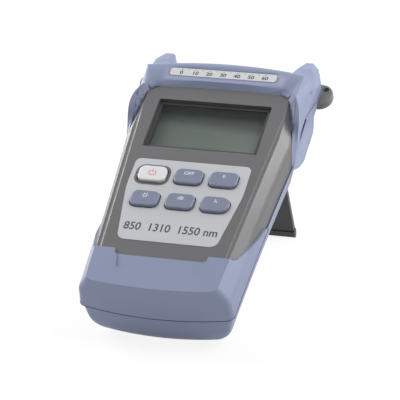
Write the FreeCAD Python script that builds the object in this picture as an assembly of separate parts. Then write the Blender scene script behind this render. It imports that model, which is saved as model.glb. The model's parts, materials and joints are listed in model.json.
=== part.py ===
"""Handheld optical power meter, leaning on its open kickstand.

Every piece is drawn in the instrument's own frame and then stood up:
X runs across the instrument, Y up it from the bottom end, Z out of its face.
The face is Z = 0 and the two housings part on a plane PARTING below it.
"""
import FreeCAD, Part
import math
import os

V = FreeCAD.Vector

# ---------------------------------------------------------------- housings
END_WALL_Y = 166.3          # corners of the top end wall, between the horns
END_CROWN = 4.6             # how far that wall bows out
PARTING = 18.7              # face to the plane where the two housings meet
BACK = 42.5                 # face to back
WALL = 2.2                  # moulded wall
BOTTOM_HALF = 40.2          # half width of the grey housing at its bottom corners
FLARE_HALF = 47.2           # half width where the flare ends, under the shoulders
FLARE_Y = 116.0
HEAD_TUCK = 1.7             # the grey head draws in again under the top guard
SIDE_SAG = 0.7              # the long sides are slightly hollow curves
BOTTOM_BOW = 4.6            # how far the bottom end bows out between its corners
FLANK_DEPTH = 8.0           # the flanks turn down to the sides this far under the face
FLANK_TUCK = 0.8            # side draft between there and the parting plane
CREASE_BOTTOM_HALF = 34.2   # half width of the flat face, bottom and flare
CREASE_FLARE_HALF = 41.2
CREASE_RISE = 3.2           # the end wall leans in by this up to the face
CREASE_BOW = 2.4
CORNER_RADIUS = 4.2
FLANK_RADIUS = 9.0
REAR_PROUD = 0.4            # the rear housing stands proud of the grey flank
HEEL_PROUD = 3.4            # and its bottom end bulges by this towards the back
REAR_DRAFT = 13.0           # degrees, the rear housing's sides
BACK_EDGE_RADIUS = 14.0     # long edges of the back
HEEL_RADIUS = 15.0          # bottom edge of the back, which the meter rests on
GROOVE_RADIUS = 2.6         # shallow groove along each edge of the face
GROOVE_DEPTH = 0.45

# ---------------------------------------------------------------- guards
SHOULDER_HALF = 49.8        # half widths of the head at its end, middle and lower end
SHOULDER_MID_HALF = 48.2
SHOULDER_LOW_HALF = 47.9
SHOULDER_MID_Y = 142.0
SHOULDER_LOW_Y = 112.0
SHOULDER_STRAIGHT = 7.0    # straight part of the rear shoulder below the parting plane
SHOULDER_BEND = (120.0, -25.6)      # the lower end sweeps up and back: y, z of the curve,
SHOULDER_SWEEP = (138.0, -34.5)     # of its end
SHOULDER_BACK_Y = 152.0             # and where it meets the back
HEAD_PROUD = 3.0            # the top guard over the face
HEAD_COVER = 3.0            # the top guard over the grey end wall
HEAD_TURN_Z = -9.0          # in front of here the guard's sides lean in,
HEAD_LEAN_IN = 4.0          # by this at its front
HEAD_END_RADIUS = 5.0
HEAD_SIDE_RADIUS = 2.4
FRAME_HALF = 41.7           # opening of the top guard, at the face
FRAME_Y = 149.0             # at its corners
FRAME_CROWN = 1.6
FRAME_CORNER_RADIUS = 9.0
FRAME_BEVEL = 2.6
FRAME_SIDE_BEVEL = 1.4
GUARD_PROUD = 1.2           # the bottom guard over the grey housing
GUARD_SUNK = 1.0
GUARD_FRONT_Y = 27.0        # top edge of the bottom guard on the face
GUARD_TIP_Y = 68.0          # and where its side wings reach the parting plane
TONGUE_HALF = 24.5          # the grey face dips into the guard here
TONGUE_DIP = 3.2
THUMB_HALF = 21.0           # shallow thumb recess below the tongue
THUMB_Y = 14.2
THUMB_DEPTH = 0.9
SCOOP_Y = 144.0             # centre of the finger scoops in the shoulders
SCOOP_Z = -22.5
SCOOP_HALF_LENGTH = 18.5
SCOOP_HALF_WIDTH = 8.6
SCOOP_DEPTH = 2.9
SCOOP_TILT = 12.0           # degrees, deeper towards the front
ARM_INNER = (114.2, 121.5, -5.6, 142.0)     # lower edge of the arms against the face: tip y,
ARM_OUTER = (115.0, 133.0, -11.8, 144.5)    # bend y and z, top y; and at their outside

# ---------------------------------------------------------------- horns and lugs
HORN_SECTIONS = (           # y, inner x, outer x, rear z, front z, bevel
    (160.0, 33.0, 49.0, -38.5, 1.5, 5.0),
    (176.5, 35.2, 50.0, -36.0, -4.5, 5.0),
    (190.0, 38.2, 45.6, -31.0, -12.0, 2.4),
)
HORN_RADIUS = 2.0
LUG_ROOT = 49.6
LUG_Y = 174.0
LUG_FRONT_Z = -20.4
LUG_REACH = 7.2
LUG_HALF_LENGTH = 9.3
LUG_THICK = 4.6
LUG_FOOT_DEPTH = 4.2
LUG_FOOT_HALF = 6.5
LUG_EYE_RADIUS = 1.75
LUG_EYE_OUT = 2.6           # eye centre beyond the lug's root
LUG_EYE_UP = 3.8

# ---------------------------------------------------------------- display
WINDOW_HALF = 32.0
WINDOW_BOTTOM_Y = 103.9
WINDOW_TOP_Y = 140.0
WINDOW_CORNER = 1.2
WINDOW_LIP = 1.1            # bevel along the bottom edge of the window
PANE_MARGIN = 2.0
PANE_THICK = 1.5
BEZEL_LIP = 1.2
BEZEL_DEPTH = 4.0
LCD_THICK = 2.0

# ---------------------------------------------------------------- keypad
KEY_PITCH_X = 19.3
POWER_OFFSET = -0.7         # the power key sits a little further out
KEY_ROWS_Y = (81.6, 63.4)
KEY_WIDTH = 15.4
KEY_HEIGHT = 10.8
KEY_CORNER = 3.4
KEY_END_RADIUS = 5.0        # right end of the last key
KEY_TOP_RADIUS = 0.9
KEY_RISE = 1.9              # key tops above the face
KEY_TRAVEL = 0.8
KEY_GAP = 0.45
KEY_FLANGE = 0.9
KEY_FLANGE_THICK = 0.8
POWER_RING = 0.9            # width of the bare ring round the power key
OVERLAY_THICK = 0.5
OVERLAY_SUNK = 0.3
OVERLAY_TOP_Y = 93.2
OVERLAY_TOP_HALF = 32.0
OVERLAY_MID_Y = 72.0
OVERLAY_MID_HALF = 32.2
OVERLAY_BOTTOM_Y = 34.6
OVERLAY_BOTTOM_HALF = 26.6
OVERLAY_TOP_CORNER = 3.2
OVERLAY_WAIST_RADIUS = 60.0
OVERLAY_BOTTOM_CORNER = 4.6
LABEL_HALF = 30.6
LABEL_Y = 159.2
LABEL_HEIGHT = 5.9
LABEL_CORNER = 1.8
LABEL_THICK = 0.4

# ---------------------------------------------------------------- inside
BOARD_THICK = 1.6
BOARD_TOP_HALF = 42.4
BOARD_BOTTOM_HALF = 34.6
BOARD_BOTTOM_Y = 12.0
BOARD_TOP_Y = 160.0
MAT_THICK = 1.2
MAT_HALF = 30.0
MAT_BOTTOM_Y = 54.0
MAT_TOP_Y = 91.0
PAD_HALF = 3.0
PAD_GAP = 0.15
PORT_X = 17.0
PORT_Z = -22.0
PORT_FLANGE = 13.0
PORT_FLANGE_THICK = 2.0
PORT_BARREL_RADIUS = 4.0
PORT_BARREL = 8.0
PORT_SOCKET_RADIUS = 3.2
PORT_SOCKET = 5.8
PORT_SLEEVE_RADIUS = 2.1
PORT_FERRULE_RADIUS = 1.25
PORT_FERRULE = 11.0
PORT_SLEEVE_SUNK = 1.0
PORT_KEYWAY = 2.1
PORT_TAIL_RADIUS = 3.6
PORT_TAIL = 6.0
MODULE_RADIUS = 4.5
DETECTOR_LENGTH = 9.0
LASER_LENGTH = 14.0
CELL_RADIUS = 7.1
CELL_LENGTH = 49.0
CELL_NUB_RADIUS = 2.7
CELL_NUB = 1.4
CELL_COUNT = 3
CELL_GAP = 0.9
CELL_PLAY = 0.4
SPRING_SPACE = 3.0
CONTACT_THICK = 0.5
CONTACT_WIDTH = 9.0
BAY_BOTTOM_Y = 20.0
BAY_WALL = 1.8

# ---------------------------------------------------------------- battery cover
COVER_THICK = 2.2
COVER_MARGIN = 1.6          # the cover over the rim of its bay
COVER_GAP = 0.4
SEAT_GAP = 0.3
TAB_HALF = 3.0              # two tabs hook the cover's lower end under the back
TAB_X = 12.0
TAB_REACH = 2.4
TAB_THICK = 1.2
TAB_GAP = 0.3
TAB_SWING = 2.4             # room above the tabs to turn in
GRIP_GROOVES = 5
GRIP_PITCH = 2.6
GRIP_HALF = 9.0
GRIP_DEPTH = 0.5

# ---------------------------------------------------------------- kickstand
STAND_HINGE_Y = 164.5
STAND_LENGTH = 81.1
STAND_THICK = 3.0
STAND_HINGE_HALF = 24.0
STAND_FOOT_HALF = 29.0
STAND_FOOT_RADIUS = 2.1
STAND_FOOT_HEIGHT = 5.0
STAND_FOOT_FLARE = 0.2
STAND_OPEN = 84.0           # degrees out of the back
STAND_GAP = 0.5
WELL_WALL = 3.4
WELL_FLOOR = 2.0
NOTCH_HALF = 8.0            # finger notch at the foot of the folded stand
NOTCH_LENGTH = 4.5
NOTCH_DEPTH = 2.0
WELL_END_GAP = 0.3
PIN_RADIUS = 1.0
PIN_FIT = 0.06
PIN_IN_STAND = 5.0
PIN_IN_HOUSING = 3.0

# ---------------------------------------------------------------- screws
SCREW_PLACES = ((38.0, 149.0), (31.8, 48.0))
SCREW_RADIUS = 1.4
SCREW_HEAD_RADIUS = 2.7
SCREW_HEAD_THICK = 1.8
SCREW_HEAD_Z = -36.5        # under the heads
SCREW_TIP_Z = -4.6
SCREW_FIT = 0.3
BOSS_RADIUS = 3.9


# ================================================================ small helpers
def box(x0, x1, y0, y1, z0, z1):
    return Part.makeBox(x1 - x0, y1 - y0, z1 - z0, V(x0, y0, z0))


def cylinder(radius, start, along):
    return Part.makeCylinder(radius, along.Length, start, along)


def line(a, b):
    return Part.LineSegment(a, b).toShape()


def arc(a, through, b):
    return Part.Arc(a, through, b).toShape()


def slab(wire, height):
    return Part.Face(wire).extrude(V(0, 0, height))


def mirrored(shape):
    return shape.mirror(V(0, 0, 0), V(1, 0, 0))


def both_sides(shape):
    return shape.fuse(mirrored(shape))


def rounded_plate(x0, x1, y0, y1, z0, z1, radius):
    plate = box(x0, x1, y0, y1, z0, z1)
    return plate.makeFillet(radius, upright_edges(plate))


def upright_edges(shape):
    return [e for e in shape.Edges if e.BoundBox.XLength < 0.01 and e.BoundBox.YLength < 0.01]


def fillet_mixed(shape, choose):
    """Round each edge by the radius that choose(edge) gives, or leave it where that is 0."""
    doc = FreeCAD.newDocument("rounding")
    base = doc.addObject("Part::Feature", "Base")
    base.Shape = shape
    rounding = doc.addObject("Part::Fillet", "Rounding")
    rounding.Base = base
    radii = [(i + 1, choose(e)) for i, e in enumerate(shape.Edges)]
    rounding.Edges = [(i, r, r) for i, r in radii if r > 0]
    doc.recompute()
    result = rounding.Shape.copy()
    FreeCAD.closeDocument(doc.Name)
    return result


# ================================================================ housing forms
def outline(z, bottom_half, flare_half, sag, middle_y, corner_y, top_y):
    """Plan outline: bowed bottom end, two flaring sides, straight head with a crowned end."""
    def side(sign):
        low = V(sign * bottom_half, corner_y, z)
        high = V(sign * flare_half, FLARE_Y, z)
        if sag == 0:
            return line(low, high)
        waist = V(sign * ((bottom_half + flare_half) / 2 - sag), (corner_y + FLARE_Y) / 2, z)
        return arc(low, waist, high)

    corner = V(bottom_half, corner_y, z)
    other = V(-bottom_half, corner_y, z)
    flare = V(flare_half, FLARE_Y, z)
    top = V(flare_half - HEAD_TUCK, top_y, z)
    far_top = V(HEAD_TUCK - flare_half, top_y, z)
    far_flare = V(-flare_half, FLARE_Y, z)
    edges = [
        arc(other, V(0, middle_y, z), corner),
        side(1),
        line(flare, top),
        arc(top, V(0, top_y + END_CROWN, z), far_top),
        line(far_top, far_flare),
        side(-1),
    ]
    return Part.Wire(Part.__sortEdges__(edges))


def front_form(grow):
    """The front half as a solid, every face moved out by grow."""
    tuck = FLANK_TUCK
    lean = CREASE_RISE * (PARTING - FLANK_DEPTH) / PARTING
    top_y = END_WALL_Y - HEAD_COVER + grow
    sections = [
        outline(-PARTING, BOTTOM_HALF + grow, FLARE_HALF + grow, SIDE_SAG,
                -grow, BOTTOM_BOW - grow, top_y),
        outline(-FLANK_DEPTH, BOTTOM_HALF - tuck + grow, FLARE_HALF - tuck + grow, SIDE_SAG,
                lean - grow, lean + (BOTTOM_BOW + CREASE_BOW) / 2 - grow, top_y),
        outline(grow, CREASE_BOTTOM_HALF + grow / 2, CREASE_FLARE_HALF + grow / 2, 0,
                CREASE_RISE - grow, CREASE_RISE + CREASE_BOW - grow, top_y),
    ]
    form = Part.makeLoft(sections, True, True)

    def radius(edge):
        b = edge.BoundBox
        if b.YMax < 12 and b.XLength < 8 and b.ZLength > 4:
            return CORNER_RADIUS
        if abs(b.ZMin + FLANK_DEPTH) < 0.01 and b.ZLength < 0.01 and b.YLength > 30:
            return FLANK_RADIUS
        return 0

    return fillet_mixed(form, radius)


def rear_form(grow):
    """The rear half as a solid: drafted sides, rounded back, every face moved out by grow."""
    height = BACK - PARTING + grow
    draft = height * math.tan(math.radians(REAR_DRAFT))
    proud = REAR_PROUD + grow
    bulge = HEEL_PROUD + grow
    sections = [
        outline(-PARTING, BOTTOM_HALF + proud, FLARE_HALF + proud, SIDE_SAG,
                -proud, BOTTOM_BOW - proud, END_WALL_Y + grow),
        outline(-PARTING - height, BOTTOM_HALF + proud - draft, FLARE_HALF + proud - draft,
                SIDE_SAG, -bulge, BOTTOM_BOW - bulge, END_WALL_Y + grow),
    ]
    form = Part.makeLoft(sections, True, True)

    def radius(edge):
        b = edge.BoundBox
        if b.ZLength > 5 and b.YMax < 12:
            return CORNER_RADIUS
        if b.ZMax > -PARTING - height + 0.01 or b.YMin > END_WALL_Y - 10:
            return 0
        return (HEEL_RADIUS if b.YMax < 12 else BACK_EDGE_RADIUS) + grow

    return fillet_mixed(form, radius)


def head_plan(z, inward):
    """Plan outline of the shoulders and the crowned end wall, its sides moved in."""
    points = [V(SHOULDER_LOW_HALF - inward, SHOULDER_LOW_Y, z),
              V(SHOULDER_MID_HALF - inward, SHOULDER_MID_Y, z),
              V(SHOULDER_HALF - inward, END_WALL_Y, z)]
    left = [V(-p.x, p.y, z) for p in points]
    edges = [
        line(left[0], points[0]),
        line(points[0], points[1]),
        line(points[1], points[2]),
        arc(points[2], V(0, END_WALL_Y + END_CROWN, z), left[2]),
        line(left[2], left[1]),
        line(left[1], left[0]),
    ]
    return Part.Wire(edges)


def head_block():
    """Outer form of the top guard, before it is opened and hollowed."""
    sections = [head_plan(-PARTING, 0), head_plan(HEAD_TURN_Z, 0.1), head_plan(HEAD_PROUD, HEAD_LEAN_IN)]
    block = Part.makeLoft(sections, True, True)

    def radius(edge):
        b = edge.BoundBox
        if b.ZMin < HEAD_PROUD - 0.01:
            return 0
        if b.YMin > END_WALL_Y - 0.01:
            return HEAD_END_RADIUS
        return HEAD_SIDE_RADIUS if b.XLength < 5 else 0

    return fillet_mixed(block, radius)


def shoulder_block():
    """Rear shoulders: a wide rounded band round the head whose lower end sweeps up and back."""
    depth = BACK - PARTING
    band = box(-SHOULDER_HALF, SHOULDER_HALF, SHOULDER_LOW_Y, END_WALL_Y + END_CROWN, -BACK, -PARTING)
    back_edges = [e for e in band.Edges if e.BoundBox.ZMax < -BACK + 0.01 and e.BoundBox.YLength > 1]
    band = band.makeFillet(depth - SHOULDER_STRAIGHT, back_edges)
    x = -SHOULDER_HALF - 5
    far = END_WALL_Y + 2 * END_CROWN
    low = V(x, SHOULDER_LOW_Y, -PARTING)
    end = V(x, *SHOULDER_SWEEP)
    corners = [end, V(x, SHOULDER_BACK_Y, -BACK), V(x, far, -BACK), V(x, far, -PARTING), low]
    edges = [line(a, b) for a, b in zip(corners, corners[1:])]
    side_view = Part.Wire([arc(low, V(x, *SHOULDER_BEND), end)] + edges)
    band = band.common(Part.Face(side_view).extrude(V(-2 * x, 0, 0)))
    return band.common(slab(head_plan(-BACK, 0), depth))


def horn():
    """One tapering horn with bevelled front edges, from its root in the end wall to its tip."""
    def section(y, inner, outer, rear, front, bevel):
        loop = [V(inner, y, rear), V(outer, y, rear), V(outer, y, front - 1.6 * bevel),
                V(outer - bevel, y, front), V(inner + bevel / 2, y, front), V(inner, y, front - bevel / 2)]
        return Part.makePolygon(loop + loop[:1])

    form = Part.makeLoft([section(*sizes) for sizes in HORN_SECTIONS], True, True)
    tip_y = HORN_SECTIONS[-1][0]
    edges = [e for e in form.Edges if e.BoundBox.YMin > tip_y - 0.01]
    return form.makeFillet(HORN_RADIUS, edges)


def half_space(front):
    """A block that holds everything in front of, or behind, the parting plane."""
    reach = 3 * END_WALL_Y
    z0, z1 = (-PARTING, reach) if front else (-reach, -PARTING)
    return box(-reach, reach, -reach, 2 * reach, z0, z1)


def scoops():
    """Finger scoops: shallow boat-shaped hollows, deeper towards the front."""
    across = (SCOOP_HALF_WIDTH ** 2 + SCOOP_DEPTH ** 2) / (2 * SCOOP_DEPTH)
    along = (SCOOP_HALF_LENGTH ** 2 + SCOOP_DEPTH ** 2) / (2 * SCOOP_DEPTH)
    barrel = Part.makeTorus(along - across, across, V(along - SCOOP_DEPTH, 0, 0), V(0, 0, 1))
    barrel.rotate(V(0, 0, 0), V(0, 1, 0), -SCOOP_TILT)
    barrel.translate(V(SHOULDER_MID_HALF + 0.5, SCOOP_Y, SCOOP_Z))
    return both_sides(barrel)


# ================================================================ lugs and ports
def lug():
    """Strap lug: a D-shaped tongue with an eye, and a T-shaped foot held in the housings."""
    root = LUG_ROOT
    z = LUG_FRONT_Z - LUG_THICK
    ends = (V(root, LUG_Y - LUG_HALF_LENGTH, z), V(root, LUG_Y + LUG_HALF_LENGTH, z))
    rim = arc(ends[0], V(root + LUG_REACH, LUG_Y, z), ends[1])
    tongue = slab(Part.Wire([rim, line(ends[1], ends[0])]), LUG_THICK)
    rims = [e for e in tongue.Edges if e.BoundBox.ZLength < 0.01 and e.BoundBox.XLength > 1]
    tongue = tongue.makeChamfer(LUG_THICK / 5, rims)
    foot_x = root - LUG_FOOT_DEPTH
    neck = box(foot_x, root, LUG_Y - LUG_FOOT_HALF, LUG_Y + LUG_FOOT_HALF, z, z + LUG_THICK)
    eye = cylinder(LUG_EYE_RADIUS, V(root + LUG_EYE_OUT, LUG_Y + LUG_EYE_UP, z - 1),
                   V(0, 0, LUG_THICK + 2))
    return tongue.fuse(neck).cut(eye).removeSplitter()


def lugs():
    return both_sides(lug())


def port_wall_y():
    """Outermost point of the crowned end wall under a port's flange."""
    radius = (SHOULDER_HALF ** 2 + END_CROWN ** 2) / (2 * END_CROWN)
    nearest = PORT_X - PORT_FLANGE / 2
    return END_WALL_Y + END_CROWN - radius + math.sqrt(radius ** 2 - nearest ** 2)


def port_rod(x, radius, y0, y1):
    return cylinder(radius, V(x, y0, PORT_Z), V(0, y1 - y0, 0))


def port_tip():
    return port_wall_y() + PORT_FLANGE_THICK + PORT_BARREL


def port(x):
    """Fibre adapter: chamfered square flange on the end wall, round barrel with a keyway."""
    y, tip = port_wall_y(), port_tip()
    half = PORT_FLANGE / 2
    flange = box(x - half, x + half, y, y + PORT_FLANGE_THICK, PORT_Z - half, PORT_Z + half)
    flange = flange.makeChamfer(PORT_FLANGE_THICK, [e for e in flange.Edges if e.BoundBox.YLength > 1])
    body = flange.fuse([port_rod(x, PORT_BARREL_RADIUS, y, tip), port_rod(x, PORT_TAIL_RADIUS, y - PORT_TAIL, y)])
    keyway = box(x - PORT_KEYWAY / 2, x + PORT_KEYWAY / 2, tip - PORT_KEYWAY, tip + 1,
                 PORT_Z, PORT_Z + PORT_BARREL_RADIUS + 1)
    socket = port_rod(x, PORT_SOCKET_RADIUS, tip - PORT_SOCKET, tip + 1)
    seat = port_rod(x, PORT_SLEEVE_RADIUS, tip - PORT_FERRULE, tip)
    return body.cut(socket).cut(keyway).cut(seat).removeSplitter()


def ferrule_sleeve(x):
    """Thin tube in the middle of an adapter that lines up the fibre's ferrule."""
    tip = port_tip()
    tube = port_rod(x, PORT_SLEEVE_RADIUS, tip - PORT_FERRULE, tip - PORT_SLEEVE_SUNK)
    return tube.cut(port_rod(x, PORT_FERRULE_RADIUS, tip - PORT_FERRULE, tip))


def port_passages():
    """Holes in the end walls for the tails of both ports."""
    deep = V(0, -2 * PORT_TAIL, 0)
    hole = cylinder(PORT_TAIL_RADIUS, V(PORT_X, port_wall_y(), PORT_Z), deep)
    return both_sides(hole)


def module(x, length):
    """Round metal can behind a port."""
    return cylinder(MODULE_RADIUS, V(x, port_wall_y() - PORT_TAIL, PORT_Z), V(0, -length, 0))


# ================================================================ guards
def frame_opening():
    """What the top guard leaves open over the face, with a bevelled, crowned edge."""
    def loop(z, spread):
        w = FRAME_HALF + spread * FRAME_SIDE_BEVEL
        y = FRAME_Y + spread * FRAME_BEVEL
        low = SHOULDER_LOW_Y - 10
        top = arc(V(w, y, z), V(0, y + FRAME_CROWN, z), V(-w, y, z))
        return Part.Wire([line(V(-w, low, z), V(w, low, z)), line(V(w, low, z), V(w, y, z)), top,
                          line(V(-w, y, z), V(-w, low, z))])

    below = loop(-FLANK_DEPTH - 4, 0)
    form = Part.makeLoft([below, loop(0, 0), loop(2 * HEAD_PROUD, 2)], True, True)
    corners = [e for e in form.Edges if e.BoundBox.YMin > FRAME_Y - 0.01 and e.BoundBox.ZLength > 1]
    return form.makeFillet(FRAME_CORNER_RADIUS, corners)


def arm_opening():
    """Sweeps the lower edge of the side arms down the flanks to a point at the parting plane."""
    def side_view(x, tip_y, bend_y, bend_z, top_y):
        top_z, low_z = HEAD_PROUD + 1, -PARTING - 0.2
        low_y = SHOULDER_LOW_Y - 10
        top = V(x, top_y, top_z)
        tip = V(x, tip_y, low_z)
        return Part.Wire([arc(tip, V(x, bend_y, bend_z), top), line(top, V(x, low_y, top_z)),
                          line(V(x, low_y, top_z), V(x, low_y, low_z)), line(V(x, low_y, low_z), tip)])

    inner = side_view(FRAME_HALF - 1, *ARM_INNER)
    outer = side_view(SHOULDER_HALF, *ARM_OUTER)
    return both_sides(Part.makeLoft([inner, outer], True, True))


def top_guard():
    form = head_block().fuse([horn(), mirrored(horn())]).common(half_space(True))
    for part_away in (front_form(0), frame_opening(), arm_opening(), scoops(), port_passages(),
                      label_plate()):
        form = form.cut(part_away)
    return form.removeSplitter()


def guard_region():
    """Side-view region of the bottom guard: over the end, with wings that sweep up the flanks."""
    reach = FLARE_HALF + 10
    x = -reach
    top = HEAD_PROUD
    start = V(x, GUARD_FRONT_Y, top)
    shoulder = V(x, GUARD_FRONT_Y + 5.5, -3.4)
    wing = V(x, GUARD_TIP_Y - 9, -PARTING + 4.5)
    tip = V(x, GUARD_TIP_Y, -PARTING)
    low = V(x, -10, -PARTING)
    edges = [
        arc(start, V(x, GUARD_FRONT_Y + 1.2, -1.0), shoulder),
        line(shoulder, wing),
        arc(wing, V(x, GUARD_TIP_Y - 2.5, -PARTING + 2.1), tip),
        line(tip, low),
        line(low, V(x, -10, top)),
        line(V(x, -10, top), start),
    ]
    return Part.Face(Part.Wire(edges)).extrude(V(2 * reach, 0, 0))


def guard_notches():
    """Where the grey tongue dips into the guard, and the shallow thumb recess below it."""
    def trapezoid(half_top, half_bottom, y0, y1, z0, z1):
        loop = [V(-half_bottom, y0, z0), V(half_bottom, y0, z0), V(half_top, y1, z0),
                V(-half_top, y1, z0)]
        return slab(Part.makePolygon(loop + loop[:1]), z1 - z0)

    tongue_y = GUARD_FRONT_Y - TONGUE_DIP
    tongue = trapezoid(TONGUE_HALF + 1, TONGUE_HALF, tongue_y, GUARD_FRONT_Y + 4,
                       -GUARD_SUNK - 1, HEAD_PROUD)
    thumb = trapezoid(TONGUE_HALF - 1, THUMB_HALF, THUMB_Y, tongue_y + 0.1,
                      GUARD_PROUD - THUMB_DEPTH, HEAD_PROUD)
    return tongue.fuse(thumb)


def bottom_guard():
    skin = front_form(GUARD_PROUD).cut(front_form(-GUARD_SUNK))
    return skin.common(guard_region()).cut(guard_notches()).removeSplitter()


# ================================================================ display and keypad
def window_hole():
    """Opening over the display, with a bevel along its bottom edge."""
    hole = rounded_plate(-WINDOW_HALF, WINDOW_HALF, WINDOW_BOTTOM_Y, WINDOW_TOP_Y,
                         -WALL - 1, 1, WINDOW_CORNER)
    lip = WINDOW_LIP
    x0, x1 = -WINDOW_HALF, WINDOW_HALF
    y = WINDOW_BOTTOM_Y
    profile = Part.makePolygon([V(x0, y + 1, -lip), V(x0, y, -lip), V(x0, y - lip, 0),
                                V(x0, y - lip, 1), V(x0, y + 1, 1), V(x0, y + 1, -lip)])
    bevel = Part.Face(profile).extrude(V(x1 - x0, 0, 0))
    return hole.fuse(bevel)


def behind_window(front_z, thick):
    m = PANE_MARGIN
    return box(-WINDOW_HALF - m, WINDOW_HALF + m, WINDOW_BOTTOM_Y - m, WINDOW_TOP_Y + m,
               front_z - thick, front_z)


def display_window():
    return behind_window(-WALL, PANE_THICK)


def lcd_bezel():
    front = -WALL - PANE_THICK
    inner = WINDOW_HALF - BEZEL_LIP
    opening = box(-inner, inner, WINDOW_BOTTOM_Y + BEZEL_LIP, WINDOW_TOP_Y - BEZEL_LIP,
                  front - BEZEL_DEPTH, front)
    return behind_window(front, BEZEL_DEPTH).cut(opening)


def lcd_panel():
    return behind_window(-WALL - PANE_THICK - BEZEL_DEPTH, LCD_THICK)


BOARD_FRONT = -WALL - PANE_THICK - BEZEL_DEPTH - LCD_THICK


def key_places():
    """Name, centre and right-hand corner radius of each key."""
    names = (("key_power", "key_auto_off", "key_zero"), ("key_light", "key_db", "key_wavelength"))
    places = []
    for y, row in zip(KEY_ROWS_Y, names):
        for column, name in enumerate(row):
            right = KEY_END_RADIUS if name == "key_wavelength" else KEY_CORNER
            offset = POWER_OFFSET if name == "key_power" else 0
            places.append((name, (column - 1) * KEY_PITCH_X + offset, y, right))
    return places


def key_plan(x, y, z0, z1, grow, right_corner):
    """Rounded plate of a key's outline; the last key has a rounder right end."""
    w = KEY_WIDTH / 2 + grow
    h = KEY_HEIGHT / 2 + grow
    plate = box(x - w, x + w, y - h, y + h, z0, z1)
    upright = upright_edges(plate)
    left = [e for e in upright if e.BoundBox.XMin < x]
    right = [e for e in upright if e.BoundBox.XMin > x]
    plate = plate.makeFillet(KEY_CORNER + grow, left)
    right = [e for e in upright_edges(plate) if abs(e.BoundBox.XMin - x - w) < 0.01]
    return plate.makeFillet(right_corner + grow, right)


def key(x, y, right_corner):
    """Key cap with a softened top and a flange that stops it under the face."""
    flange_top = -WALL - KEY_GAP / 2
    cap = key_plan(x, y, flange_top - KEY_FLANGE_THICK, KEY_RISE, 0, right_corner)
    rim = [e for e in cap.Edges if e.BoundBox.ZMin > KEY_RISE - 0.01]
    cap = cap.makeFillet(KEY_TOP_RADIUS, rim)
    flange = key_plan(x, y, flange_top - KEY_FLANGE_THICK, flange_top, KEY_FLANGE, right_corner)
    return cap.fuse(flange).removeSplitter()


def key_holes(grow, ring):
    """Openings for all keys; ring widens the one round the power key."""
    holes = []
    for name, x, y, right in key_places():
        extra = ring if name == "key_power" else 0
        holes.append(key_plan(x, y, -WALL - 1, 1, KEY_GAP + grow + extra, right))
    return holes[0].multiFuse(holes[1:])


def overlay_plate(z0, z1):
    """Printed panel: upright sides above, drawn in towards the bottom, rounded corners."""
    loop = [V(OVERLAY_BOTTOM_HALF, OVERLAY_BOTTOM_Y, z0), V(OVERLAY_MID_HALF, OVERLAY_MID_Y, z0),
            V(OVERLAY_TOP_HALF, OVERLAY_TOP_Y, z0), V(-OVERLAY_TOP_HALF, OVERLAY_TOP_Y, z0),
            V(-OVERLAY_MID_HALF, OVERLAY_MID_Y, z0), V(-OVERLAY_BOTTOM_HALF, OVERLAY_BOTTOM_Y, z0)]
    plate = slab(Part.makePolygon(loop + loop[:1]), z1 - z0)

    def radius(edge):
        b = edge.BoundBox
        if b.ZLength < (z1 - z0) / 2:
            return 0
        if b.YMin < OVERLAY_BOTTOM_Y + 0.1:
            return OVERLAY_BOTTOM_CORNER
        return OVERLAY_TOP_CORNER if b.YMin > OVERLAY_TOP_Y - 0.1 else OVERLAY_WAIST_RADIUS

    return fillet_mixed(plate, radius)


def keypad_overlay():
    plate = overlay_plate(-OVERLAY_SUNK, OVERLAY_THICK - OVERLAY_SUNK)
    return plate.cut(key_holes(0, POWER_RING))


def label_plate():
    return rounded_plate(-LABEL_HALF, LABEL_HALF, LABEL_Y - LABEL_HEIGHT / 2, LABEL_Y + LABEL_HEIGHT / 2,
                         HEAD_PROUD - LABEL_THICK / 2, HEAD_PROUD + LABEL_THICK / 2, LABEL_CORNER)


def keypad_mat():
    """Silicone sheet on the board, with a raised pad under each key."""
    top = BOARD_FRONT + MAT_THICK
    sheet = rounded_plate(-MAT_HALF, MAT_HALF, MAT_BOTTOM_Y, MAT_TOP_Y, BOARD_FRONT, top, 2)
    flange_bottom = -WALL - KEY_GAP / 2 - KEY_FLANGE_THICK
    pad_top = flange_bottom - KEY_TRAVEL - PAD_GAP
    pads = [box(x - PAD_HALF, x + PAD_HALF, y - PAD_HALF, y + PAD_HALF, top, pad_top)
            for name, x, y, right in key_places()]
    return sheet.multiFuse(pads).removeSplitter()


# ================================================================ board, screws, housings
def screw_axes():
    return [(side * x, y) for x, y in SCREW_PLACES for side in (-1, 1)]


def screw_rods(radius, z0, z1):
    rods = [cylinder(radius, V(x, y, z0), V(0, 0, z1 - z0)) for x, y in screw_axes()]
    return rods[0].multiFuse(rods[1:])


def main_board():
    loop = [V(BOARD_BOTTOM_HALF, BOARD_BOTTOM_Y, 0), V(BOARD_TOP_HALF, FLARE_Y, 0),
            V(BOARD_TOP_HALF, BOARD_TOP_Y, 0)]
    loop += [V(-p.x, p.y, 0) for p in reversed(loop)]
    board = slab(Part.makePolygon(loop + loop[:1]), -BOARD_THICK)
    board.translate(V(0, 0, BOARD_FRONT))
    return board.cut(screw_rods(SCREW_RADIUS + SCREW_FIT / 2, -BACK, 0))


def case_screws():
    heads = screw_rods(SCREW_HEAD_RADIUS, SCREW_HEAD_Z - SCREW_HEAD_THICK, SCREW_HEAD_Z)
    slot = SCREW_HEAD_RADIUS * 1.2
    for x, y in screw_axes():
        z = SCREW_HEAD_Z - SCREW_HEAD_THICK
        for w, h in ((slot / 2, 0.4), (0.4, slot / 2)):
            heads = heads.cut(box(x - w, x + w, y - h, y + h, z, z + SCREW_HEAD_THICK / 2))
    return heads.fuse(screw_rods(SCREW_RADIUS, SCREW_HEAD_Z, SCREW_TIP_Z)).removeSplitter()


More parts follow.
